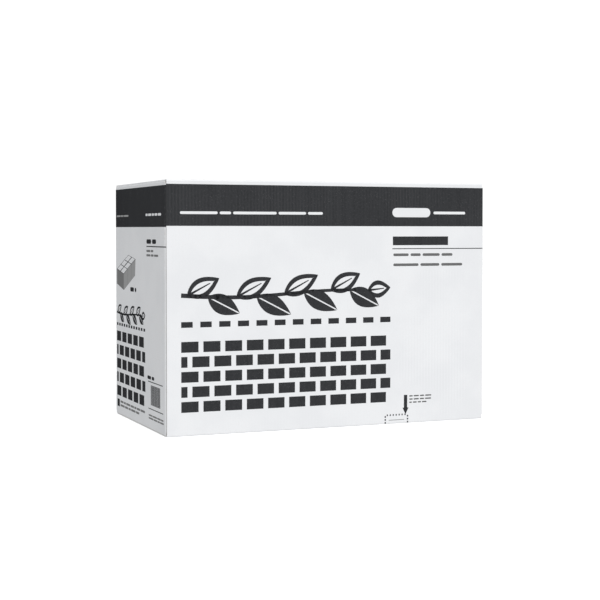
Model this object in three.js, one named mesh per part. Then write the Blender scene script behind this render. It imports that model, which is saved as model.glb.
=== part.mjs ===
// A glued corrugated case of 48 floral foam bricks: one folded and glued carton blank with eight
// flaps, and the bricks standing on end inside it in two layers.
// Millimetres, +Z up, origin at the centre of the underside, the long front face towards -Y.
import * as THREE from 'three';

// Driving dimensions
const CARTON = { width: 660, depth: 354, height: 470 }; // outside
const BOARD = 3.2; // corrugated board thickness
const BRICK = { width: 80, depth: 112, height: 227, easedEdge: 1 };
const GRID = { columns: 8, rows: 3, layers: 2 };

// Folds, slots and clearances
const FIT = 0.3; // between pieces that touch on the real case
const UPRIGHT_FOLD_RADIUS = 3; // outside radius of the sleeve's corners
const CREASE_RADIUS = 3; // outside radius where a wall turns into a flap
const SLOT = 4.5; // from a corner to the end of a flap
const GLUE_SPACE = 0.8; // between an outer flap and the inner flaps it is glued to
const SEAM = 1.6; // between the two outer flaps, along the middle
const LAP_WIDTH = 35; // the manufacturer's glue lap
const LAP_STEP = 2.2; // from the left side to the raw edge of the front wall
const ARC_STEPS = 6;

const FLAP_REACH = CARTON.depth / 2 - SEAM / 2; // from its crease to its free edge
const CLOSURE = 2 * BOARD + GLUE_SPACE; // two layers of flaps with glue between
const WALL_END = BOARD + FIT; // from the outside of a closure to the end of the walls

const WHITE_BOARD = { color: 0xe9ebee, roughness: 0.55, metalness: 0 };
const GREEN_FOAM = { color: 0x2f6b3c, roughness: 0.95, metalness: 0 };

function namedMesh(name, geometry, finish) {
  const mesh = new THREE.Mesh(geometry, new THREE.MeshStandardMaterial(finish));
  mesh.name = name;
  return mesh;
}

// An outline drawn in x and y, pushed up by height
function pushedUp(shape, height) {
  return new THREE.ExtrudeGeometry(shape, {
    depth: height,
    bevelEnabled: false,
    curveSegments: ARC_STEPS,
  });
}

// The four walls and the glue lap, seen from above. The left wall turns inwards behind the front
// wall as the lap, and the front wall's raw edge stops just short of the corner.
function sleeveOutline() {
  const side = CARTON.width / 2;
  const face = CARTON.depth / 2;
  const radius = UPRIGHT_FOLD_RADIUS;
  const lapFace = face - BOARD;
  const turn = Math.acos((radius - LAP_STEP) / radius); // where the raw edge meets the fold

  const outline = new THREE.Shape();
  outline.moveTo(side - radius, face);
  outline.lineTo(-side + radius, face);
  outline.absarc(-side + radius, face - radius, radius, Math.PI / 2, Math.PI, false);
  outline.lineTo(-side, -lapFace + radius);
  outline.absarc(-side + radius, -lapFace + radius, radius, Math.PI, Math.PI + turn, false);
  outline.lineTo(-side + LAP_STEP, -face);
  outline.lineTo(side - radius, -face);
  outline.absarc(side - radius, -face + radius, radius, -Math.PI / 2, 0, false);
  outline.lineTo(side, face - radius);
  outline.absarc(side - radius, face - radius, radius, 0, Math.PI / 2, false);

  const inside = new THREE.Path();
  inside.moveTo(side - BOARD, face - BOARD);
  inside.lineTo(side - BOARD, -face + BOARD);
  inside.lineTo(-side + BOARD + LAP_WIDTH, -face + BOARD);
  inside.lineTo(-side + BOARD + LAP_WIDTH, -lapFace + BOARD);
  inside.lineTo(-side + BOARD, -lapFace + BOARD);
  inside.lineTo(-side + BOARD, face - BOARD);
  inside.closePath();
  outline.holes.push(inside);
  return outline;
}

function sleeve() {
  const mesh = namedMesh(
    'carton_sleeve',
    pushedUp(sleeveOutline(), CARTON.height - 2 * WALL_END),
    WHITE_BOARD,
  );
  mesh.position.z = WALL_END;
  return mesh;
}

// A flap lying closed: its crease along x at y = 0, its outside face up at z = 0, reaching along +y.
// creaseInset is where the board starts, and a radius rounds its upper edge there.
function flap(name, length, creaseInset, radius) {
  const section = new THREE.Shape();
  section.moveTo(creaseInset, -BOARD);
  section.lineTo(FLAP_REACH, -BOARD);
  section.lineTo(FLAP_REACH, 0);
  section.lineTo(creaseInset + radius, 0);
  if (radius > 0) {
    section.absarc(creaseInset + radius, -radius, radius, Math.PI / 2, Math.PI, false);
  }
  const geometry = pushedUp(section, length);
  geometry.translate(0, 0, -length / 2);
  // from (section x, section y, push) to (crease y, height, along x)
  geometry.applyMatrix4(new THREE.Matrix4().makeBasis(
    new THREE.Vector3(0, 1, 0),
    new THREE.Vector3(0, 0, 1),
    new THREE.Vector3(1, 0, 0),
  ));
  return namedMesh(name, geometry, WHITE_BOARD);
}

// The four flaps that close the top. names are those of the -y, +y, -x and +x flaps.
function closure(names) {
  const [front, back, left, right] = names;
  const outerLength = CARTON.width - 2 * SLOT;
  const innerLength = CARTON.depth - 2 * (2 * BOARD + FIT); // clear of the glue lap
  const innerLevel = CARTON.height - BOARD - GLUE_SPACE;
  const group = new THREE.Group();

  for (const [name, side] of [[front, -1], [back, 1]]) {
    const outer = flap(name, outerLength, 0, CREASE_RADIUS);
    outer.position.set(0, side * CARTON.depth / 2, CARTON.height);
    outer.rotation.z = side < 0 ? 0 : Math.PI;
    group.add(outer);
  }
  for (const [name, side] of [[left, -1], [right, 1]]) {
    const inner = flap(name, innerLength, BOARD + FIT, 0);
    inner.position.set(side * CARTON.width / 2, 0, innerLevel);
    inner.rotation.z = side * Math.PI / 2;
    group.add(inner);
  }
  return group;
}

// One brick, standing on its end, with the long edges eased by the cutting wires
function brickGeometry() {
  const x = BRICK.width / 2;
  const y = BRICK.depth / 2;
  const ease = BRICK.easedEdge;
  const outline = new THREE.Shape([
    new THREE.Vector2(-x + ease, -y),
    new THREE.Vector2(x - ease, -y),
    new THREE.Vector2(x, -y + ease),
    new THREE.Vector2(x, y - ease),
    new THREE.Vector2(x - ease, y),
    new THREE.Vector2(-x + ease, y),
    new THREE.Vector2(-x, y - ease),
    new THREE.Vector2(-x, -y + ease),
  ]);
  return pushedUp(outline, BRICK.height);
}

// The bricks share the spare width evenly, and the spare depth behind the glue lap
function bricks() {
  const spareWidth = CARTON.width - 2 * BOARD - GRID.columns * BRICK.width;
  const spareDepth = CARTON.depth - 3 * BOARD - GRID.rows * BRICK.depth;
  const gapX = spareWidth / (GRID.columns + 1);
  const gapY = spareDepth / (GRID.rows + 1);
  const firstX = -CARTON.width / 2 + BOARD + gapX + BRICK.width / 2;
  const firstY = -CARTON.depth / 2 + 2 * BOARD + gapY + BRICK.depth / 2;
  const geometry = brickGeometry();
  const group = new THREE.Group();
  for (let layer = 0; layer < GRID.layers; layer += 1) {
    const level = layer === 0 ? 'lower' : 'upper';
    for (let row = 0; row < GRID.rows; row += 1) {
      for (let column = 0; column < GRID.columns; column += 1) {
        const brick = namedMesh(`foam_brick_${level}_r${row + 1}_c${column + 1}`, geometry, GREEN_FOAM);
        brick.position.set(
          firstX + column * (BRICK.width + gapX),
          firstY + row * (BRICK.depth + gapY),
          CLOSURE + FIT + layer * (BRICK.height + FIT),
        );
        group.add(brick);
      }
    }
  }
  return group;
}

const caseOfBricks = new THREE.Group();
caseOfBricks.add(sleeve());
caseOfBricks.add(closure(['flap_top_front', 'flap_top_back', 'flap_top_left', 'flap_top_right']));

// The bottom is the same closure turned half over about the case's long axis
const bottom = closure(['flap_bottom_back', 'flap_bottom_front', 'flap_bottom_left', 'flap_bottom_right']);
bottom.rotation.x = Math.PI;
bottom.position.z = CARTON.height;
caseOfBricks.add(bottom);
caseOfBricks.add(bricks());

export default caseOfBricks;
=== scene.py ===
import math
import random
from collections import namedtuple

import bmesh
import bpy
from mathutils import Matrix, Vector, noise


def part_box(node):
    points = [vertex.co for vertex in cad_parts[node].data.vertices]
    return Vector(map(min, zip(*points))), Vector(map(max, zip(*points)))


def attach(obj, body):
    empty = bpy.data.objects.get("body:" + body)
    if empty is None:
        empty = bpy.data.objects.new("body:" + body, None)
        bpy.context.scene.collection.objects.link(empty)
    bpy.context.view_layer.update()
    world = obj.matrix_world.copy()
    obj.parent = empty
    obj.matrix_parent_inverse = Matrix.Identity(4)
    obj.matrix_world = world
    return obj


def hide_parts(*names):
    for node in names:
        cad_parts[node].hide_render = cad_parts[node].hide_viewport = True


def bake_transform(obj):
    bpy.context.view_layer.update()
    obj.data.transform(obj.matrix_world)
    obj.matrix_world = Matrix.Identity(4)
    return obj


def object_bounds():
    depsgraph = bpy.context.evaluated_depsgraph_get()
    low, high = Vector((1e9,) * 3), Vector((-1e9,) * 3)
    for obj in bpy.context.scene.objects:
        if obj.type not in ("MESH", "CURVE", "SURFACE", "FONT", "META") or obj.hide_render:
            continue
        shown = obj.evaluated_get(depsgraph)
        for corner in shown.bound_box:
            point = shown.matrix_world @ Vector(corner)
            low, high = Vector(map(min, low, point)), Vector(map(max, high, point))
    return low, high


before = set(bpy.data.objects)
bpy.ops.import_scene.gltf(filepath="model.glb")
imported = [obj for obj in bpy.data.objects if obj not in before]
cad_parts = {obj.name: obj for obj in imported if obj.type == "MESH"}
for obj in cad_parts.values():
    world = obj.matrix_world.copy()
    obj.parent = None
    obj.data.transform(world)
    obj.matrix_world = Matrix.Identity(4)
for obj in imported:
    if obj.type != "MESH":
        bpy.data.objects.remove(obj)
cad_low, cad_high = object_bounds()

MM = 0.001
UP = Vector((0, 0, 1))
DOWN = Vector((0, 0, -1))

# The case, from the frame
HALF_WIDTH = cad_high.x
HALF_DEPTH = cad_high.y
WIDTH = 2 * HALF_WIDTH
DEPTH = 2 * HALF_DEPTH
HEIGHT = cad_high.z
outer_low, outer_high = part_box("flap_top_front")
inner_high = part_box("flap_top_left")[1]
BOARD = outer_high.z - outer_low.z
INNER_HALF_LENGTH = inner_high.y
FLAP_REACH = outer_high.y + HALF_DEPTH
INNER_DROP = HEIGHT - inner_high.z  # from the outer flaps' outside to the inner flaps' outside

# Corrugated board
LINER = 0.35 * MM
FLUTE_PITCH = 6.4 * MM
FLUTE_STEPS = 8  # stations in one flute
WASHBOARD = 0.09 * MM  # how far the liner dips between two flute tips
CRUSH = 0.8 * MM  # how far the fluting is pushed back at a cut edge
PINCH_WIDTH = 3.2 * MM  # where a cut along the flutes has squeezed the two liners together
PINCH_DEPTH = 2.4 * MM
RAW_EDGE_PINCH = 0.25  # share of that at the front wall's raw edge
UPRIGHT_FOLD_RADIUS = 3.6 * MM
CREASE_RADIUS = 3.3 * MM
BASE_CREASE_RADIUS = 1.6 * MM  # the case's weight presses these creases sharper
OUTER_CREASE_LEG = 4.5 * MM  # from the crease to the flat board, both ways
INNER_CREASE_LEG = 3.8 * MM
INNER_RIDGE = 1.3 * MM  # an end wall's crease rolls out this far past its flap
INNER_CREASE_EXTRA = 1.8 * MM  # and it is this much longer than its flap at each end
INNER_RIDGE_SHAPE = 0.8  # below 1 gives the ridge fuller flanks
CREASE_WANDER = 0.16 * MM  # unevenness along a crease
CREASE_STEPS = 14
BULGE = 0.9 * MM  # the walls stand out this far in the middle, from the bricks inside
SCUFFED = 9 * MM  # the paper is scuffed this far from an upright fold
FLAP_MARGIN = 8 * MM  # from a flap's crease or cut edge to its next row of points
FRAY = 0.25 * MM  # unevenness of a flap's cut edge
FLUTING_HALF = 0.13 * MM  # half the fluting paper's thickness
FLUTING_CLEAR = 0.12 * MM  # from the middle of that paper at a tip to the liner
FLUTING_START = 0.1 * MM  # the fluting begins this far from the crease's leg
CRUSHED_INSET = 0.2 * MM  # crushed fluting ends this far inside a cut end
CRUSHED_BITE = 0.05 * MM  # and it reaches this far into both liners
DIAGONAL = 0.7  # each part of a move at 45 degrees
ROUNDING = 1e-6

# The glue joint and the slots at the corners
LAP_WIDTH = 35 * MM
LAP_STEP = 2.2 * MM
LAP_GAP = 0.2 * MM
OUTER_HALF_LENGTH = HALF_WIDTH - LAP_STEP  # the outer flaps' cut ends run on from the raw edge
SLOT_DEPTH = INNER_DROP + INNER_CREASE_LEG

# Print
INK = 0.05 * MM  # how far it stands on the paper
INK_ROOT = 0.3 * MM  # how far its solid reaches into the board
BAND_TOP = 8.8 * MM  # below the top of the case
BAND_HEIGHT = 76.3 * MM
BAND_SKEW = 2 * MM  # how much lower the band is at the glue joint
BAND_OVERRUN = 6 * MM  # how far the band runs on over the glue lap
RAW_EDGE_CLEAR = 0.2 * MM  # from the ink on the raw edge to the board's inside
WHITE_EXTRA = 0.04 * MM  # white shapes stand this much prouder than black ones
LONGEST_RUN = 20  # print follows the wall in lengths of this many millimetres or less
RULE_BEND = 8  # the last millimetres of a rule, which can bend round a fold

# Hot-melt beads
BEAD_CENTRES = (-120 * MM, -62 * MM, 62 * MM, 120 * MM)  # along the crease
BEAD_LENGTH = 128 * MM
BEAD_BEGIN = 26 * MM  # from the crease
BEAD_THICKNESS = 0.7 * MM
BEAD_ROOT = 0.12 * MM  # how far a bead's solid reaches into the flap
BEAD_ROWS = 60
BEAD_COLUMNS = 6

# Foam bricks
BRICK_EASE = 1.4 * MM  # radius of the rubbed edges
BRICK_PITCH = 11 * MM  # of the points on a brick's faces
BRICK_GRAIN = 0.3 * MM
NICKS = 5  # on each brick's edges
NICK_REACH = (4, 9)  # least and most, in millimetres
NICK_DEPTH = (0.5, 1.6)

# Camera: where it is from the near left corner, in heights of the case, and its aim in degrees
VIEW_LEFT = 1.4932
VIEW_BACK = 4.9694
VIEW_UP = 0.797
VIEW_TILT = 1.4
VIEW_TURN = 22.46
SENSOR = 36  # mm
LENS = 80.4  # mm
LENS_SHIFT = -0.0595

# Light: a broad sun in front of the case and a little to its right, and an even sky
SUN_POWER = 1.9
SUN_SPREAD = 45  # degrees
SUN_HEIGHT = 43
SUN_SIDE = 5
SKY_POWER = 0.64

# Stage, in metres
FLOOR_RADIUS = 12
SURROUND_RADIUS = 11.5
SURROUND_RISE = 9
SURROUND_FLAT = 0.6  # share of its radius
SURROUND_DROP = 0.002
DISC_SEGMENTS = 96


# ---------------------------------------------------------------- camera and stage


def add(name, data):
    """A new object, in the scene."""
    obj = bpy.data.objects.new(name, data)
    bpy.context.scene.collection.objects.link(obj)
    return obj


def make_camera():
    camera = add("camera", bpy.data.cameras.new("camera"))
    camera.data.sensor_width = SENSOR
    camera.data.lens = LENS
    camera.data.shift_y = LENS_SHIFT
    camera.location = (
        -HALF_WIDTH - VIEW_LEFT * HEIGHT,
        -HALF_DEPTH - VIEW_BACK * HEIGHT,
        VIEW_UP * HEIGHT,
    )
    camera.rotation_euler = (math.radians(90 - VIEW_TILT), 0, math.radians(-VIEW_TURN))
    bpy.context.scene.camera = camera


def disc(name, radius, rings, lift):
    """A round sheet about the origin, raised at each ring by lift(share of the radius)."""
    verts = [(0, 0, lift(0))]
    for ring in range(1, rings + 1):
        share = ring / rings
        reach = radius * share
        for k in range(DISC_SEGMENTS):
            angle = 2 * math.pi * k / DISC_SEGMENTS
            verts.append((reach * math.cos(angle), reach * math.sin(angle), lift(share)))
    faces = [(0, 1 + k, 1 + (k + 1) % DISC_SEGMENTS) for k in range(DISC_SEGMENTS)]
    for ring in range(1, rings):
        for k in range(DISC_SEGMENTS):
            a = 1 + (ring - 1) * DISC_SEGMENTS + k
            b = 1 + (ring - 1) * DISC_SEGMENTS + (k + 1) % DISC_SEGMENTS
            faces.append((a, a + DISC_SEGMENTS, b + DISC_SEGMENTS, b))
    mesh = bpy.data.meshes.new(name)
    mesh.from_pydata(verts, [], faces)
    sheet = add(name, mesh)
    return sheet


def stage_paint(name, tone, glow, roughness, specular):
    """A plain paint of that tone, which gives off white light of strength glow."""
    paint = bpy.data.materials.new(name)
    paint.use_nodes = True
    inputs = paint.node_tree.nodes["Principled BSDF"].inputs
    inputs["Base Color"].default_value = (tone, tone, tone, 1)
    inputs["Roughness"].default_value = roughness
    inputs["Specular IOR Level"].default_value = specular
    inputs["Emission Color"].default_value = (1, 1, 1, 1)
    inputs["Emission Strength"].default_value = glow
    return paint


def surround_lift(share):
    """The surround's height: flat in the middle and curving up to its rim."""
    return SURROUND_RISE * max(0, (share - SURROUND_FLAT) / (1 - SURROUND_FLAT)) ** 2


def make_stage():
    floor = disc("floor", FLOOR_RADIUS, 24, lambda share: 0)
    floor.data.materials.append(stage_paint("pale_floor", 0.96, 0.45, 0.9, 0.1))
    floor.visible_diffuse = False  # it throws no light back on the case
    floor.visible_glossy = False

    # A white surround that only the camera sees, so that it casts no light of its own
    surround = disc("surround", SURROUND_RADIUS, 48, surround_lift)
    surround.data.materials.append(stage_paint("white_surround", 0, 1.05, 0.5, 0.5))
    surround.location.z = -SURROUND_DROP
    surround.visible_diffuse = False
    surround.visible_glossy = False
    surround.visible_transmission = False
    surround.visible_shadow = False


def make_lights():
    world = bpy.data.worlds.new("studio")
    bpy.context.scene.world = world
    world.use_nodes = True
    background = world.node_tree.nodes["Background"]
    background.inputs["Color"].default_value = (0.98, 0.99, 1, 1)
    background.inputs["Strength"].default_value = SKY_POWER
    sun = add("key_light", bpy.data.lights.new("key_light", "SUN"))
    sun.data.energy = SUN_POWER
    sun.data.angle = math.radians(SUN_SPREAD)
    height = math.radians(SUN_HEIGHT)
    side = math.radians(SUN_SIDE)
    level = math.cos(height)
    towards = Vector((-math.sin(side) * level, math.cos(side) * level, -math.sin(height)))
    sun.rotation_euler = towards.to_track_quat("-Z", "Y").to_euler()
    bpy.context.scene.view_settings.view_transform = "Standard"


# ---------------------------------------------------------------- materials


class Finish:
    """A material under construction: its nodes, with shortcuts for the ones used here."""

    def __init__(self, name):
        self.material = bpy.data.materials.new(name)
        self.material.use_nodes = True
        self.tree = self.material.node_tree
        self.shader = self.tree.nodes["Principled BSDF"]
        self.place = self.tree.nodes.new("ShaderNodeTexCoord").outputs["Object"]

    def link(self, output, target):
        self.tree.links.new(output, target)

    def noise(self, scale, detail, stretch=(1, 1, 1)):
        """Noise from 0 to 1, with scale features in a metre; stretch multiplies the scale by axis."""
        mapping = self.tree.nodes.new("ShaderNodeMapping")
        mapping.inputs["Scale"].default_value = stretch
        self.link(self.place, mapping.inputs["Vector"])
        node = self.tree.nodes.new("ShaderNodeTexNoise")
        node.inputs["Scale"].default_value = scale
        node.inputs["Detail"].default_value = detail
        self.link(mapping.outputs["Vector"], node.inputs["Vector"])
        return node.outputs["Fac"]

    def cells(self, scale):
        """Distance from the nearest of scattered points, with scale of them in a metre."""
        node = self.tree.nodes.new("ShaderNodeTexVoronoi")
        node.inputs["Scale"].default_value = scale
        self.link(self.place, node.inputs["Vector"])
        return node.outputs["Distance"]

    def span(self, value, low, high, to_low=0.0, to_high=1.0):
        """value between low and high, moved to between to_low and to_high and held there."""
        node = self.tree.nodes.new("ShaderNodeMapRange")
        node.interpolation_type = "SMOOTHSTEP"
        self.link(value, node.inputs["Value"])
        node.inputs["From Min"].default_value = low
        node.inputs["From Max"].default_value = high
        node.inputs["To Min"].default_value = to_low
        node.inputs["To Max"].default_value = to_high
        return node.outputs["Result"]

    def times(self, first, second):
        node = self.tree.nodes.new("ShaderNodeMath")
        node.operation = "MULTIPLY"
        self.link(first, node.inputs[0])
        self.link(second, node.inputs[1])
        return node.outputs["Value"]

    def attribute(self, name):
        node = self.tree.nodes.new("ShaderNodeAttribute")
        node.attribute_name = name
        return node.outputs["Fac"]

    def mix(self, share, first, second):
        """A colour between first and second; each is a colour or another node's output."""
        node = self.tree.nodes.new("ShaderNodeMix")
        node.data_type = "RGBA"
        self.link(share, node.inputs["Factor"])
        colour_inputs = [s for s in node.inputs if s.type == "RGBA"]
        for socket, colour in zip(colour_inputs, (first, second)):
            if isinstance(colour, tuple):
                socket.default_value = (*colour, 1)
            else:
                self.link(colour, socket)
        return [s for s in node.outputs if s.type == "RGBA"][0]

    def bump(self, height, depth, strength):
        node = self.tree.nodes.new("ShaderNodeBump")
        node.inputs["Strength"].default_value = strength
        node.inputs["Distance"].default_value = depth
        self.link(height, node.inputs["Height"])
        self.link(node.outputs["Normal"], self.shader.inputs["Normal"])

    def done(self, colour, roughness, specular):
        self.link(colour, self.shader.inputs["Base Color"])
        self.link(roughness, self.shader.inputs["Roughness"])
        self.shader.inputs["Specular IOR Level"].default_value = specular
        return self.material


def coated_paper():
    """White clay-coated liner: faint clouds, paper grain, a few grey specks, scuffs along folds."""
    f = Finish("coated_paper")
    clouds = f.noise(14, 4)
    grain = f.noise(850, 3)
    specks = f.span(f.noise(1500, 1), 0.70, 0.76)
    scuffs = f.times(f.attribute("fold"), f.span(f.noise(260, 5), 0.52, 0.66))
    colour = f.mix(f.span(clouds, 0.35, 0.65), (0.782, 0.789, 0.804), (0.818, 0.824, 0.836))
    colour = f.mix(f.span(grain, 0.2, 0.8, 0.0, 0.16), colour, (0.71, 0.714, 0.722))
    colour = f.mix(f.times(specks, f.span(clouds, 0.4, 0.6, 0.1, 0.5)), colour, (0.52, 0.50, 0.47))
    colour = f.mix(f.times(scuffs, f.span(clouds, 0.3, 0.7, 0.1, 0.35)), colour, (0.66, 0.64, 0.60))
    f.bump(grain, 0.06 * MM, 0.5)
    return f.done(colour, f.span(grain, 0.3, 0.7, 0.46, 0.58), 0.4)


def black_ink():
    """Flexographic ink on coated board: slightly mottled, pinholed, streaked along the flutes."""
    f = Finish("black_ink")
    mottle = f.noise(420, 4)
    streaks = f.noise(160, 2, (1, 1, 0.02))
    tips = f.times(f.attribute("tip"), f.span(f.noise(5, 2), 0.35, 0.65, 0.0, 0.6))
    pinholes = f.span(f.noise(1900, 1), 0.74, 0.78)
    scuffs = f.times(f.attribute("fold"), f.span(f.noise(420, 6), 0.56, 0.68))
    colour = f.mix(f.span(mottle, 0.3, 0.7), (0.032, 0.033, 0.035), (0.042, 0.043, 0.046))
    colour = f.mix(f.span(streaks, 0.35, 0.7, 0.0, 0.3), colour, (0.050, 0.051, 0.054))
    colour = f.mix(tips, colour, (0.056, 0.057, 0.060))
    colour = f.mix(f.times(pinholes, f.span(mottle, 0.4, 0.6)), colour, (0.42, 0.42, 0.42))
    colour = f.mix(f.times(scuffs, f.span(mottle, 0.3, 0.7, 0.0, 0.3)), colour, (0.16, 0.16, 0.16))
    f.bump(mottle, 0.02 * MM, 0.5)
    return f.done(colour, f.span(mottle, 0.3, 0.7, 0.52, 0.64), 0.0)


def halftone_ink(name, value):
    """A tint of the same ink, as on the shaded sides of the brick picture."""
    f = Finish(name)
    grain = f.noise(900, 3)
    darker = tuple(0.88 * value for _ in range(3))
    lighter = tuple(1.1 * value for _ in range(3))
    colour = f.mix(f.span(grain, 0.3, 0.7), darker, lighter)
    return f.done(colour, f.span(grain, 0.3, 0.7, 0.44, 0.56), 0.4)


def kraft_paper():
    """Unbleached brown liner and fluting: long fibres, pale and dark flecks."""
    f = Finish("kraft_paper")
    fibres = f.noise(520, 5, (1, 1, 0.25))
    clouds = f.noise(30, 4)
    flecks = f.span(f.noise(1300, 2, (1, 0.3, 1)), 0.64, 0.72)
    colour = f.mix(f.span(fibres, 0.3, 0.7), (0.34, 0.215, 0.115), (0.47, 0.315, 0.185))
    colour = f.mix(f.span(clouds, 0.35, 0.65, 0.0, 0.35), colour, (0.40, 0.27, 0.165))
    colour = f.mix(f.times(flecks, f.span(clouds, 0.3, 0.7, 0.3, 0.8)), colour, (0.20, 0.12, 0.065))
    f.bump(fibres, 0.12 * MM, 0.6)
    return f.done(colour, f.span(fibres, 0.3, 0.7, 0.78, 0.92), 0.25)


def cut_edge(name, value):
    """A cut edge's grey fibres: pale where it is crushed shut; darker where the flutes are open, a painted
    shade for the shadow inside open flute channels that the solid wall board doesn't model.
    """
    f = Finish(name)
    fibres = f.noise(700, 5)
    clouds = f.noise(60, 3)
    tones = (0.91 * value, 0.97 * value, 1.1 * value)
    dark, middle, light = [(tone, 0.99 * tone, 0.97 * tone) for tone in tones]
    colour = f.mix(f.span(fibres, 0.3, 0.7), dark, light)
    colour = f.mix(f.span(clouds, 0.35, 0.65, 0.0, 0.4), colour, middle)
    f.bump(fibres, 0.15 * MM, 0.6)
    return f.done(colour, f.span(fibres, 0.3, 0.7, 0.82, 0.95), 0.2)


def green_foam():
    """Phenolic flower foam: fine open cells, dusty faces, faint saw lines across."""
    f = Finish("green_foam")
    pores = f.span(f.cells(1100), 0.0, 0.55)
    patches = f.noise(70, 5)
    saw = f.noise(24, 3, (1, 1, 40))
    colour = f.mix(f.span(patches, 0.3, 0.7), (0.026, 0.120, 0.048), (0.045, 0.175, 0.075))
    colour = f.mix(f.span(pores, 0.0, 0.8, 0.75, 0.0), colour, (0.008, 0.045, 0.018))
    colour = f.mix(f.span(saw, 0.5, 0.75, 0.0, 0.4), colour, (0.075, 0.235, 0.110))
    f.bump(f.times(pores, f.span(saw, 0.2, 0.8, 0.6, 1.0)), 0.35 * MM, 0.8)
    return f.done(colour, f.span(patches, 0.3, 0.7, 0.92, 1.0), 0.15)


def hot_melt():
    """Set hot-melt adhesive, pulled thin between two flaps."""
    f = Finish("hot_melt")
    strings = f.noise(260, 5, (0.3, 1, 1))
    colour = f.mix(f.span(strings, 0.3, 0.7), (0.60, 0.47, 0.27), (0.74, 0.63, 0.43))
    f.bump(strings, 0.25 * MM, 0.7)
    return f.done(colour, f.span(strings, 0.3, 0.7, 0.22, 0.4), 0.5)


# ---------------------------------------------------------------- mesh building


def loft(rings, skins, folds=None, tips=None):
    """A closed solid through a row of rings, each an outer run of points and the inner run back.

    skins names the material of each strip from a point to the next. folds and tips are a number
    for each ring, kept as attributes: "fold" is 1 on a fold, and "tip" is 1 over a flute's tip.
    """
    none = [0.0] * len(rings)
    return {"rings": rings, "skins": skins, "fold": folds or none, "tip": tips or none}


def turn_outwards(mesh, smooth_angle):
    """Turns the faces outwards, and shades them smooth across edges below an angle in degrees."""
    made = bmesh.new()
    made.from_mesh(mesh)
    bmesh.ops.recalc_face_normals(made, faces=made.faces)
    made.to_mesh(mesh)
    made.free()
    mesh.shade_smooth()
    mesh.set_sharp_from_angle(angle=math.radians(smooth_angle))


def piece(name, solids, materials, body=None, smooth_angle=40):
    """One object made of several lofted solids. materials maps each skin name to a material."""
    verts = []
    marks = {"fold": [], "tip": []}
    faces = []
    slots = []
    order = list(materials)
    for solid in solids:
        rings = solid["rings"]
        count = len(rings[0])
        half = count // 2
        base = len(verts)
        skin = [order.index(s) for s in solid["skins"]]
        for number, ring in enumerate(rings):
            verts.extend(ring)
            for mark, values in marks.items():
                values.extend([solid[mark][number]] * count)
        for number in range(len(rings) - 1):
            here = base + number * count
            for k in range(count):
                after = (k + 1) % count
                faces.append((here + k, here + after, here + count + after, here + count + k))
                slots.append(skin[k])
        for start, flip in ((base, False), (base + (len(rings) - 1) * count, True)):
            for k in range(half - 1):
                quad = (start + k, start + count - 1 - k, start + count - 2 - k, start + k + 1)
                faces.append(tuple(reversed(quad)) if flip else quad)
                slots.append(skin[half - 1])
    mesh = bpy.data.meshes.new(name)
    mesh.from_pydata([tuple(v) for v in verts], [], faces)
    mesh.polygons.foreach_set("material_index", slots)
    for mark, values in marks.items():
        mesh.attributes.new(mark, "FLOAT", "POINT").data.foreach_set("value", values)
    for material in materials.values():
        mesh.materials.append(material)
    turn_outwards(mesh, smooth_angle)
    obj = add(name, mesh)
    if body:
        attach(obj, body)
    return obj


def steps(start, end, count):
    return [start + (end - start) * k / count for k in range(count + 1)]


def pinch(distance):
    """How far the outer liner is pressed in, at a distance from a cut along the flutes."""
    return PINCH_DEPTH * max(0.0, 1 - distance / PINCH_WIDTH) ** 2


def washboard(distance):
    """How far the liner lies below its flute tips."""
    return WASHBOARD * (1 - math.cos(2 * math.pi * distance / FLUTE_PITCH)) / 2


def bulge(share, height):
    """How far a wall stands out, at a share of its length and a height."""
    across = 1 - (2 * share - 1) ** 2
    upwards = 1 - (2 * height / HEIGHT - 1) ** 2
    return BULGE * max(0.0, across) * max(0.0, upwards)


# ---------------------------------------------------------------- walls


# A place on the folded blank: its point on the outside, the direction outwards, the distance along
# the blank, fold from 0 to 1 on a fold, the panel, and the share of the panel's length.
Station = namedtuple("Station", "point outward distance fold panel share")


def blank_stations():
    """Stations along the folded blank, from the glue lap round to the front wall's raw edge."""
    lap_y = -HALF_DEPTH + BOARD + LAP_GAP
    corners = [
        Vector((-HALF_WIDTH + BOARD + LAP_WIDTH, lap_y, 0)),
        Vector((-HALF_WIDTH, lap_y, 0)),
        Vector((-HALF_WIDTH, HALF_DEPTH, 0)),
        Vector((HALF_WIDTH, HALF_DEPTH, 0)),
        Vector((HALF_WIDTH, -HALF_DEPTH, 0)),
        Vector((-HALF_WIDTH + LAP_STEP, -HALF_DEPTH, 0)),
    ]
    panels = ["lap", "left", "back", "right", "front"]
    radius = UPRIGHT_FOLD_RADIUS
    stations = []
    distance = 0.0
    for number, panel in enumerate(panels):
        is_first = number == 0
        is_last = number == len(panels) - 1
        run = corners[number + 1] - corners[number]
        length = run.length
        heading = run.normalized()
        outward = Vector((-heading.y, heading.x, 0))
        start = 0 if is_first else radius
        end = length if is_last else length - radius
        count = math.ceil((end - start) / (FLUTE_PITCH / FLUTE_STEPS))
        for along in steps(start, end, count):
            point = corners[number] + heading * along
            near = min(length if is_first else along, length if is_last else length - along)
            fold = max(0.0, 1 - near / SCUFFED)
            stations.append(Station(point, outward, distance + along, fold, panel, along / length))
        distance += length
        if is_last:
            break
        following = (corners[number + 2] - corners[number + 1]).normalized()
        next_outward = Vector((-following.y, following.x, 0))
        centre = corners[number + 1] - heading * radius + following * radius
        for angle in steps(0, math.pi / 2, 10)[1:-1]:
            normal = outward * math.cos(angle) + next_outward * math.sin(angle)
            stations.append(Station(centre + normal * radius, normal, distance, 1.0, "fold", 0.0))
    return stations


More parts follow.
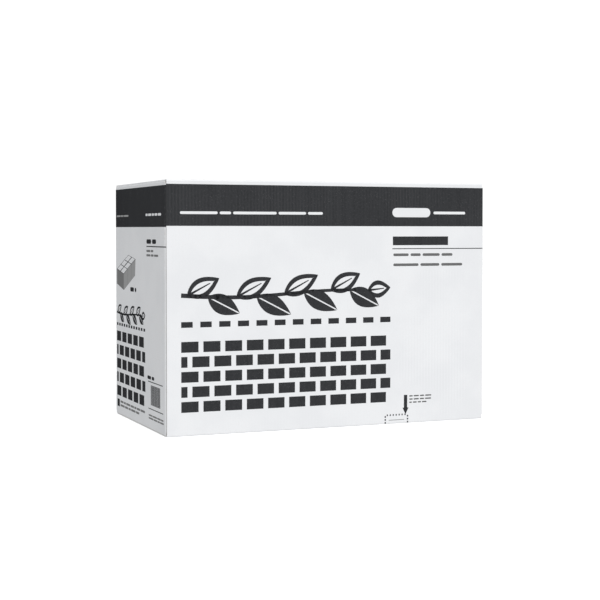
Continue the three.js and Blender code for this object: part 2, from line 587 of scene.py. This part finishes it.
def outside_point(station, height, out):
    """A point at a height over a station, out from the paper's surface, with its dips and bulge."""
    lift = 0.0
    if station.panel not in ("fold", "lap"):
        lift = bulge(station.share, height) - washboard(station.distance) * (1 - station.fold)
    if station.panel == "front" and out > -BOARD / 2:
        lift -= RAW_EDGE_PINCH * pinch((1 - station.share) * (WIDTH - LAP_STEP))
    return station.point + station.outward * (lift + out) + UP * height


def wall_limits(station):
    """The lowest and highest points of the board at a station: under the creases or in a slot."""
    past_flap = abs(station.point.x) > OUTER_HALF_LENGTH + ROUNDING
    if past_flap or station.panel not in ("front", "back"):
        return SLOT_DEPTH, HEIGHT - SLOT_DEPTH
    return OUTER_CREASE_LEG, HEIGHT - OUTER_CREASE_LEG


def make_walls(board):
    stations = blank_stations()
    rows = 14
    rings = []
    folds = []
    for station in stations:
        low, high = wall_limits(station)
        heights = steps(low, high, rows)
        outer = [outside_point(station, z, 0) for z in heights]
        inner = [outside_point(station, z, -BOARD) for z in reversed(heights)]
        rings.append(outer + inner)
        folds.append(station.fold)
    # the cut tops, bottoms and ends take the dark open edge: painted shade for the shadow inside open
    # flutes
    skins = ["paper"] * rows + ["open_edge"] + ["kraft"] * rows + ["open_edge"]
    walls = piece("carton_walls", [loft(rings, skins, folds)], board, "carton")
    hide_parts("carton_sleeve")
    return stations


def make_band(stations, ink):
    """The dark band round the walls, a little lower towards the glue joint."""
    rows = 4
    level_from = DEPTH + WIDTH  # past the left and back walls it is level
    rings = []
    folds = []
    tips = []
    for station in stations:
        from_joint = station.distance - LAP_WIDTH
        if from_joint < -BAND_OVERRUN:
            continue
        skew = BAND_SKEW * max(0.0, min(1.0, 1 - from_joint / level_from))
        top = HEIGHT - BAND_TOP - skew
        heights = steps(top - BAND_HEIGHT, top, rows)
        root = INK_ROOT
        ahead = Vector()
        if station is stations[-1]:  # the raw edge is inked too
            root = BOARD - RAW_EDGE_CLEAR
            ahead = Vector((-INK, 0, 0))
        outer = [outside_point(station, z, INK) + ahead for z in heights]
        inner = [outside_point(station, z, -root) + ahead for z in reversed(heights)]
        rings.append(outer + inner)
        folds.append(station.fold)
        tips.append((1 - washboard(station.distance) / WASHBOARD) * (1 - station.fold))
    skins = ["ink"] * (2 * rows + 2)
    piece("print_band", [loft(rings, skins, folds, tips)], {"ink": ink}, "carton")


# ---------------------------------------------------------------- creases and flaps


class Crease:
    """Where a wall turns into a flap: the crease line's middle and three directions from it."""

    def __init__(self, name, origin, inward, up, half_length, leg, body):
        self.name = name
        self.origin = Vector(origin)
        self.inward = Vector(inward)
        self.up = up
        self.along = self.inward.cross(up)
        self.half_length = half_length
        self.leg = leg
        self.radius = CREASE_RADIUS if up == UP else BASE_CREASE_RADIUS
        self.body = body

    def at(self, along, reach, depth):
        """A point by its place along the crease, its reach inwards and its depth below."""
        return self.origin + self.along * along + self.inward * reach - self.up * depth


def closure(level):
    """The four creases at the top or the bottom, by side."""
    top = level == "top"
    up = UP if top else DOWN
    outer_z = HEIGHT if top else 0
    inner_z = HEIGHT - INNER_DROP if top else INNER_DROP
    sides = {}
    for side, sign in (("front", -1), ("back", 1)):
        body = f"top_flap_{side}" if top else "carton"
        sides[side] = Crease(
            f"{level}_{side}", (0, sign * HALF_DEPTH, outer_z), (0, -sign, 0), up,
            OUTER_HALF_LENGTH, OUTER_CREASE_LEG, body,
        )
    for side, sign in (("left", -1), ("right", 1)):
        sides[side] = Crease(
            f"{level}_{side}", (sign * HALF_WIDTH, 0, inner_z), (-sign, 0, 0), up,
            INNER_HALF_LENGTH, INNER_CREASE_LEG, "carton",
        )
    return sides


def make_crease(crease, board):
    """The bent board between a wall and a flap: a round outside and a folded-in inside."""
    end_wall = crease.leg == INNER_CREASE_LEG
    ridge = INNER_RIDGE if end_wall else 0
    half_length = crease.half_length + (INNER_CREASE_EXTRA if end_wall else 0)
    outer = [(0, crease.leg)]
    for angle in steps(0, math.pi / 2, CREASE_STEPS):
        reach = crease.radius * (1 - math.cos(angle))
        rise = ridge * math.sin(2 * angle) ** INNER_RIDGE_SHAPE
        outer.append((reach, crease.radius * (1 - math.sin(angle)) - rise))
    outer.append((crease.leg, 0))
    legs = len(outer) // 2
    inner = [(BOARD, depth) for depth in steps(crease.leg, BOARD, legs)]
    inner += [(reach, BOARD) for reach in steps(BOARD, crease.leg, len(outer) - 1 - legs)[1:]]
    count = math.ceil(2 * half_length / (FLUTE_PITCH / 2))
    rings = []
    for along in steps(-half_length, half_length, count):
        ring = []
        for number, (reach, depth) in enumerate(outer):
            bend = math.sin(math.pi * number / (len(outer) - 1))
            spot = Vector((along * 90, crease.origin.x, reach * 200))
            wander = CREASE_WANDER * bend * noise.noise(spot)
            slump = (washboard(along) * bend + abs(wander)) * DIAGONAL
            ring.append(crease.at(along, reach + slump, depth + slump))
        ring += [crease.at(along, reach, depth) for reach, depth in reversed(inner)]
        rings.append(ring)
    # Bottom creases' cut ends take the white paper instead of the grey edge: painted light that lightens
    # ends sitting in shade at the foot of the case.
    cut = "edge" if crease.up == UP else "paper"
    skins = ["paper"] * (len(outer) - 1) + [cut] + ["kraft"] * (len(inner) - 1) + [cut]
    folds = [0.8] * len(rings)
    strip = piece(f"crease_{crease.name}", [loft(rings, skins, folds)], board)
    if crease.body == "carton":
        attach(strip, "carton")
    else:
        bend_half = (crease.leg - BOARD) / 2
        before = crease.at(0, -bend_half, bend_half)
        after = crease.at(0, bend_half, -bend_half)
        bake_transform(strip)


def make_flap(crease, board):
    """A flat flap: two liners with the fluting between them, its flutes running from the crease."""
    half_length = crease.half_length
    count = math.ceil(2 * half_length / (FLUTE_PITCH / FLUTE_STEPS))
    alongs = steps(-half_length, half_length, count)
    between_liners = [crease.leg + FLUTING_START, FLAP_REACH - CRUSH]
    pinched = crease.up == UP  # a bottom flap's cut ends are filled with crushed fluting instead

    def ring(along, reaches, top, bottom):
        outer = [crease.at(along, reach, top) for reach in reaches]
        return outer + [crease.at(along, reach, bottom) for reach in reversed(reaches)]

    def liner(top, bottom, skins, outside):
        rings = []
        for along in alongs:
            spot = Vector((along * 140, crease.origin.y * 9, top * 999))
            end = FLAP_REACH - abs(FRAY * noise.noise(spot))
            reaches = [crease.leg, crease.leg + FLAP_MARGIN, end - FLAP_MARGIN, end]
            dip = washboard(along) if outside else 0
            press = pinch(half_length - abs(along)) if outside and pinched else 0
            rings.append(ring(along, reaches, top + dip + press, bottom + press))
        return loft(rings, skins)

    def fluting():
        height = (BOARD - 2 * LINER) / 2 - FLUTING_CLEAR
        rings = []
        for along in alongs:
            if abs(along) < half_length - PINCH_WIDTH:
                middle = BOARD / 2 - height * math.cos(2 * math.pi * along / FLUTE_PITCH)
                rings.append(ring(along, between_liners, middle - FLUTING_HALF, middle + FLUTING_HALF))
        return loft(rings, ["edge"] * 4)

    def crushed(sign):
        top = LINER - CRUSHED_BITE
        bottom = BOARD - LINER + CRUSHED_BITE
        ends = (half_length - PINCH_WIDTH, half_length - CRUSHED_INSET)
        return loft([ring(sign * end, between_liners, top, bottom) for end in ends], ["edge"] * 4)

    layers = [
        liner(0, LINER, ["paper"] * 4 + ["edge"] * 3 + ["paper"], True),
        fluting(),
        liner(BOARD - LINER, BOARD, ["edge"] * 4 + ["kraft"] * 4, False),
    ]
    if not pinched:
        layers += [crushed(-1), crushed(1)]
    panel = piece(f"board_{crease.name}", layers, board, crease.body)
    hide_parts(f"flap_{crease.name}")


def make_glue(crease, glue):
    """Two hot-melt beads on each half of an inner flap, set in the gap under the outer flaps."""
    rng = random.Random(crease.name)
    solids = []
    for centre in BEAD_CENTRES:
        length = BEAD_LENGTH + 12 * MM * rng.random()
        begin = BEAD_BEGIN + 6 * MM * rng.random()
        seed = rng.random() * 50
        rings = []
        for reach in steps(0, length, BEAD_ROWS):
            taper = math.sqrt(max(0.02, 1 - (2 * reach / length - 1) ** 6))
            half = (5.5 + 2.6 * noise.noise(Vector((reach * 55, seed, 0)))) * MM * taper
            middle = centre + 1.5 * MM * noise.noise(Vector((reach * 20, seed, 7)))
            outer = []
            inner = []
            for across in steps(-1, 1, BEAD_COLUMNS):
                crown = BEAD_THICKNESS * (0.55 + 0.4 * (1 - across**2)) * min(1.0, taper + 0.2)
                outer.append(crease.at(middle + half * across, begin + reach, -crown))
                inner.append(crease.at(middle + half * across, begin + reach, BEAD_ROOT))
            rings.append(outer + inner[::-1])
        solids.append(loft(rings, ["glue"] * (2 * BEAD_COLUMNS + 2)))
    piece(f"hot_melt_{crease.name}", solids, {"glue": glue}, "carton", 60)


# ---------------------------------------------------------------- foam bricks


def brick_axis(low, high):
    """Places along one axis of a brick: close together at both ends, for its eased edges."""
    ends = [0.5 * MM, BRICK_EASE, 4 * MM]
    start = [low] + [low + e for e in ends]
    finish = [high - e for e in reversed(ends)] + [high]
    count = max(1, round((finish[0] - start[-1]) / BRICK_PITCH))
    return start + steps(start[-1], finish[0], count)[1:-1] + finish


def make_brick(node, foam, number):
    """A block with rubbed edges, an uneven sawn face and a few nicks."""
    low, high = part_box(node)
    axes = [brick_axis(low[k], high[k]) for k in range(3)]
    centre = (low + high) / 2
    half = (high - low) / 2
    rng = random.Random(number)
    corner_signs = [Vector((x, y, z)) for x in (-1, 1) for y in (-1, 1) for z in (-1, 1)]
    nicks = []
    for _ in range(NICKS):
        sign = rng.choice(corner_signs)
        spot = Vector([sign[k] * half[k] for k in range(3)])
        slide = rng.randrange(3)
        spot[slide] *= rng.uniform(-1, 1)
        nicks.append((spot, rng.uniform(*NICK_REACH) * MM, rng.uniform(*NICK_DEPTH) * MM))
    places = {}
    verts = []

    def vertex(index):
        if index in places:
            return places[index]
        local = Vector([axes[n][index[n]] for n in range(3)]) - centre
        room = half - Vector((BRICK_EASE, BRICK_EASE, BRICK_EASE))
        core = Vector([max(-room[n], min(room[n], local[n])) for n in range(3)])
        away = local - core
        outwards = away.normalized()
        local = core + outwards * min(BRICK_EASE, away.length)
        grain = BRICK_GRAIN * (0.5 + 0.5 * noise.noise(local * 45 + Vector((number, 0, 0))))
        local = local - outwards * grain
        for spot, reach, depth in nicks:
            gap = (local - spot).length
            if gap < reach:
                local = local - spot.normalized() * depth * (1 - gap / reach)
        places[index] = len(verts)
        verts.append(tuple(centre + local))
        return places[index]

    faces = []
    for fixed in range(3):
        first, second = [n for n in range(3) if n != fixed]
        for end in (0, len(axes[fixed]) - 1):
            for a in range(len(axes[first]) - 1):
                for b in range(len(axes[second]) - 1):
                    quad = []
                    for da, db in ((0, 0), (1, 0), (1, 1), (0, 1)):
                        index = [end, end, end]
                        index[first] = a + da
                        index[second] = b + db
                        quad.append(vertex(tuple(index)))
                    faces.append(quad)
    name = node.replace("foam_brick", "foam")
    mesh = bpy.data.meshes.new(name)
    mesh.from_pydata(verts, [], faces)
    mesh.materials.append(foam)
    turn_outwards(mesh, 50)
    brick = add(name, mesh)
    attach(brick, "carton")
    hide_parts(node)


# ---------------------------------------------------------------- print
# Artwork is a list of (ink, ribbon). A ribbon is a list of (left, right) pairs of points, in
# millimetres right and down from a face's top left corner.


def bar(x, y, width, height, ink="black"):
    """A plain rectangle, in short lengths so that it follows the wall."""
    count = max(1, math.ceil(width / LONGEST_RUN))
    return [(ink, [((u, y), (u, y + height)) for u in steps(x, x + width, count)])]


def rule(x, y, width, height):
    """A thin line whose right end can bend round an upright fold."""
    bend = x + width - RULE_BEND
    stops = steps(x, bend, math.ceil(width / LONGEST_RUN)) + steps(bend, x + width, RULE_BEND)[1:]
    return [("black", [((u, y), (u, y + height)) for u in stops])]


def rounded_bar(x, y, width, height, ink):
    """A rectangle with round ends."""
    radius = height / 2
    middle = y + radius
    left = []
    right = []
    for angle in steps(0.12, math.pi / 2, 5):
        rise = radius * math.sin(angle)
        inset = radius * (1 - math.cos(angle))
        for end, u in ((left, x + inset), (right, x + width - inset)):
            end.append(((u, middle - rise), (u, middle + rise)))
    count = max(1, math.ceil((width - height) / LONGEST_RUN))
    between = steps(x + radius, x + width - radius, count)[1:-1]
    return [(ink, left + [((u, y), (u, y + height)) for u in between] + right[::-1])]


def dashes(first, last, y, width, height, gaps):
    """A row of equal bars whose left edges run evenly from first to last."""
    art = []
    for x in steps(first, last, gaps):
        art += bar(x, y, width, height)
    return art


def words(x, y, width, height, shares, ink="black"):
    """A line of plain dashes that stands for words. shares are the dashes' lengths."""
    gap = 0.8 * height
    room = width - gap * (len(shares) - 1)
    art = []
    for share in shares:
        length = room * share / sum(shares)
        art += rounded_bar(x, y, length, height, ink)
        x += length + gap
    return art


def stroke(points, widths, ink="black"):
    """A line through points, with a width at each."""
    pairs = []
    for number, (u, v) in enumerate(points):
        before = points[max(0, number - 1)]
        after = points[min(len(points) - 1, number + 1)]
        du = after[0] - before[0]
        dv = after[1] - before[1]
        size = math.hypot(du, dv)
        half = widths[number] / 2
        side = (-dv / size * half, du / size * half)
        pairs.append(((u + side[0], v + side[1]), (u - side[0], v - side[1])))
    return [(ink, pairs)]


def leaf(u, v, angle, length, width, line, solid=False):
    """A leaf from its base at u, v, turned by angle: outlined with a midrib, or solid and split."""
    ahead = (math.cos(angle), math.sin(angle))
    aside = (-ahead[1], ahead[0])

    def point(along, off):
        return (u + ahead[0] * along + aside[0] * off, v + ahead[1] * along + aside[1] * off)

    art = []
    for side in (-1, 1):
        pairs = []
        for share in steps(0, 1, 18):
            half = 0.25 + width / 2 * math.sin(math.pi * share**0.85) ** 0.9
            inner = min(half - 0.1, line * 0.14) if solid else max(0.0, half - line)
            pairs.append((point(length * share, side * half), point(length * share, side * inner)))
        art.append(("black", pairs))
    if solid:
        return art
    rib = [point(length * share, 0) for share in steps(0.0, 0.72, 8)]
    return art + stroke(rib, [line * (0.55 - 0.35 * k / 8) for k in range(9)])


def sprig(x, y, width, height, line, pairs_of_leaves):
    """A leafy stem lying along a box of that size."""
    middle = y + height / 2
    swing = height * 0.07
    stem_steps = 40
    room = pairs_of_leaves + 0.45  # the stem's length, in steps from one pair of leaves to the next

    def stem(share):
        return (x + width * share, middle + swing * math.sin(2 * math.pi * share))

    route = [stem(share) for share in steps(0.0, 0.9, stem_steps)]
    art = stroke(route, [line * (0.95 - 0.35 * k / stem_steps) for k in range(stem_steps + 1)])
    reach = width / (pairs_of_leaves + 1.2)
    for number in range(pairs_of_leaves):
        share = (number + 0.12) / room
        for side, later in ((-1, 0.0), (1, 0.42 / room)):
            u, v = stem(share + later)
            tilt = side * math.radians(27)
            size = reach * (1.0 - 0.10 * abs(number - pairs_of_leaves / 2 + 0.5))
            art += leaf(u, v, tilt, size, height * 0.5, line, side > 0)
    u, v = stem(0.885)
    art += leaf(u, v, -0.1, width * 0.115, height * 0.46, line)
    return art


def brickwork(x, y, width, height, rows, columns, cover):
    """A running bond of dark bricks; cover is the share of each pitch that a brick fills."""
    pitch_x = width / columns
    pitch_y = height / rows
    gap_x = pitch_x * (1 - cover[0])
    gap_y = pitch_y * (1 - cover[1])
    rows_gap = gap_y * rows / max(1, rows - 1)
    tall = pitch_y - gap_y
    art = []
    for row in range(rows):
        v = y + row * (tall + rows_gap)
        offset = -pitch_x / 2 if row % 2 else 0
        for column in range(columns + 1):
            start = max(x, x + offset + column * pitch_x)
            end = min(x + width, x + offset + (column + 1) * pitch_x - gap_x)
            if column == columns and offset < 0:
                end = x + width
            if end - start > gap_x / 2:
                art += bar(start, v, end - start, tall)
    return art


def arrow(x, y, height, shaft, head):
    """An upright arrow that points down, centred on x."""
    head_height = head * 0.95
    neck = y + height - head_height
    art = bar(x - shaft / 2, y, shaft, neck - y)
    tip = [((x - head / 2, neck), (x + head / 2, neck)), ((x - 0.2, y + height), (x + 0.2, y + height))]
    return art + [("black", tip)]


def tear_corner(x, y, width, height):
    """A perforated area at the lower edge: short cuts on three sides and a finger line."""
    art = []
    for u in steps(x + 5, x + width - 6, 6):
        art += bar(u - 1.2, y - 0.4, 2.4, 3.2)
    for v in steps(y + 4.2, y + height - 1.8, 2):
        art += bar(x - 0.8, v - 1.6, 2.8, 3.2)
        art += bar(x + width - 2.0, v - 1.6, 2.8, 3.2)
    return art + bar(x + 8, y + 10.4, width - 16, 1.3, "grey")


def brick_picture():
    """A block of bricks in a simple slanted view: pale tops and grey sides."""
    left, back, right, front = (11.2, 171.4), (101.0, 142.0), (154.5, 149.1), (66.1, 180.5)
    left_foot, front_foot, right_foot = (11.2, 201.7), (66.1, 212.9), (151.5, 181.2)

    def between(a, b, share):
        return (a[0] + (b[0] - a[0]) * share, a[1] + (b[1] - a[1]) * share)

    def on_top(across, away):
        near = between(left, front, across)
        far = between(back, right, across)
        return between(near, far, away)

    art = [
        ("dark_grey", [(left, left_foot), (between(left, front, 0.5), between(left_foot, front_foot, 0.5)),
                       (front, front_foot)]),
        ("grey", [(front, front_foot), (between(front, right, 0.5), between(front_foot, right_foot, 0.5)),
                  (right, right_foot)]),
        ("black", [(left, front), (on_top(0, 0.5), on_top(1, 0.5)), (back, right)]),
    ]
    for column in range(2):
        for row in range(3):
            a = (column + 0.08) / 2
            b = (column + 0.92) / 2
            c = (row + 0.05) / 3
            d = (row + 0.95) / 3
            art.append(("white", [(on_top(a, c), on_top(b, c)), (on_top(a, d), on_top(b, d))]))
    for share in (0.33, 0.67):
        top = between(front, right, share)
        foot = between(front_foot, right_foot, share)
        art += stroke([top, between(top, foot, 0.5), foot], [1.1, 1.1, 1.1], "dark_grey")
    return art


def long_side_art():
    art = words(27.5, 58.5, 283, 5.0, [5.2, 1.6, 6.2, 4.0, 2.2], "white")
    art += rounded_bar(457.5, 49.5, 83, 18.0, "white")
    art += rounded_bar(547.5, 56.2, 71, 5.2, "white")
    art += bar(458.6, 105.0, 121.5, 17)
    art += rule(457.5, 128.0, 202.0, 1.6)
    art += words(459.6, 138.0, 130.5, 5.2, [3.0, 2.0, 3.4, 2.2], "dark_grey")
    art += words(459.6, 157.5, 152.5, 5.2, [4.2, 3.2, 3.6], "dark_grey")
    art += sprig(29.4, 176.0, 424.0, 72.0, 8.6, 4)
    art += dashes(29.4, 431.5, 260.5, 22, 10.5, 11)
    art += brickwork(29.4, 296.8, 424.1, 129.6, 5, 10, (0.78, 0.76))
    art += arrow(486.9, 414.6, 37.2, 7.2, 13)
    for line, length in enumerate((48.6, 48.0, 38.0)):
        art += words(495, 415.8 + 6.2 * line, length, 2.6, [2, 3, 2.5, 3.5], "dark_grey")
    art += tear_corner(442.4, 451.4, 49.6, 17.5)
    return art


def short_side_art():
    art = words(10.2, 62.5, 91.5, 3.4, [3, 2, 3.5], "grey")
    art += words(225.8, 61.5, 101.7, 4.6, [2, 3, 2, 2.5, 3], "white")
    art += words(232.0, 110.0, 63.0, 8.4, [3, 2.5])
    art += rule(232.0, 122.6, 119.5, 1.9)
    art += words(232.0, 130.0, 44.8, 4.0, [3, 2], "dark_grey")
    art += words(232.0, 138.2, 76.2, 4.0, [3, 2, 3], "dark_grey")
    art += brick_picture()
    art += words(116.0, 205.0, 44.0, 8.5, [3, 1.2])
    art += sprig(10.2, 242.5, 212.5, 34.0, 4.3, 4)
    art += dashes(10.2, 210.3, 280.8, 10.9, 5.6, 11)
    art += brickwork(10.2, 297.8, 211.0, 131.7, 5, 5, (0.78, 0.76))
    art += bar(12.2, 437.0, 18.0, 15.0)
    art += words(36.0, 438.6, 180.7, 4.2, [3, 2, 4, 3, 2, 3, 4], "dark_grey")
    art += words(36.0, 446.3, 140.0, 4.2, [4, 3, 2, 4, 3], "dark_grey")
    art += words(236.0, 367.6, 44.7, 6.4, [3, 2])
    art += bar(239.0, 377.6, 95.6, 1.5)
    art += dashes(258.3, 315.3, 384.3, 3.2, 37.5, 12)
    art += bar(241.0, 428.6, 96.6, 1.5)
    art += words(243.0, 440.4, 95.6, 3.0, [3, 4, 3, 2], "dark_grey")
    art += words(243.0, 446.0, 97.6, 3.0, [4, 3, 2, 3], "dark_grey")
    return art


def print_on(side, origin, heading, outward, length, art, inks):
    """Artwork as thin solids on one wall, bent on round the fold at its right end.

    origin is the wall's left end, as one looks at it.
    """
    origin = Vector(origin)
    heading = Vector(heading)
    outward = Vector(outward)

    def place(point, out):
        height = HEIGHT - point[1] * MM
        along = min(point[0] * MM, length - UPRIGHT_FOLD_RADIUS)
        angle = (point[0] * MM - along) / UPRIGHT_FOLD_RADIUS
        turned = outward * math.cos(angle) + heading * math.sin(angle)
        lift = bulge(along / length, height) + out
        centre = origin + heading * along - outward * UPRIGHT_FOLD_RADIUS
        return centre + turned * (UPRIGHT_FOLD_RADIUS + lift) + UP * height

    solids = []
    for ink, pairs in art:
        proud = INK + (WHITE_EXTRA if ink == "white" else 0)
        rings = []
        for left, right in pairs:
            outer = [place(left, proud), place(right, proud)]
            rings.append(outer + [place(right, -INK_ROOT), place(left, -INK_ROOT)])
        solids.append(loft(rings, [ink] * 4))
    piece(f"print_{side}", solids, inks, "carton")


def make_print(paper, ink):
    inks = {
        "black": ink,
        "white": paper,
        "grey": halftone_ink("grey_tint", 0.30),
        "dark_grey": halftone_ink("dark_grey_tint", 0.13),
    }
    long_side = long_side_art()
    short_side = short_side_art()
    left, right, front, back = -HALF_WIDTH, HALF_WIDTH, -HALF_DEPTH, HALF_DEPTH
    print_on("front", (left, front, 0), (1, 0, 0), (0, -1, 0), WIDTH, long_side, inks)
    print_on("right", (right, front, 0), (0, 1, 0), (1, 0, 0), DEPTH, short_side, inks)
    print_on("back", (right, back, 0), (-1, 0, 0), (0, 1, 0), WIDTH, long_side, inks)
    to_lap = DEPTH - BOARD - LAP_GAP
    print_on("left", (left, back, 0), (0, -1, 0), (-1, 0, 0), to_lap, short_side, inks)


# ---------------------------------------------------------------- the whole case


def make_case():
    paper = coated_paper()
    board = {
        "paper": paper,
        "edge": cut_edge("cut_edge", 0.72),
        # the open edge's low tone is painted shade for the shadow inside open flutes, over the grey fibres
        "open_edge": cut_edge("open_edge", 0.36),
        "kraft": kraft_paper(),
    }
    ink = black_ink()
    glue = hot_melt()
    foam = green_foam()
    stations = make_walls(board)
    make_band(stations, ink)
    make_print(paper, ink)
    for level in ("top", "bottom"):
        sides = closure(level)
        for crease in sides.values():
            make_crease(crease, board)
            make_flap(crease, board)
        make_glue(sides["left"], glue)
        make_glue(sides["right"], glue)
    bricks = sorted(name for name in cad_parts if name.startswith("foam_brick"))
    for number, node in enumerate(bricks):
        make_brick(node, foam, number)


make_camera()
make_stage()
make_lights()
make_case()
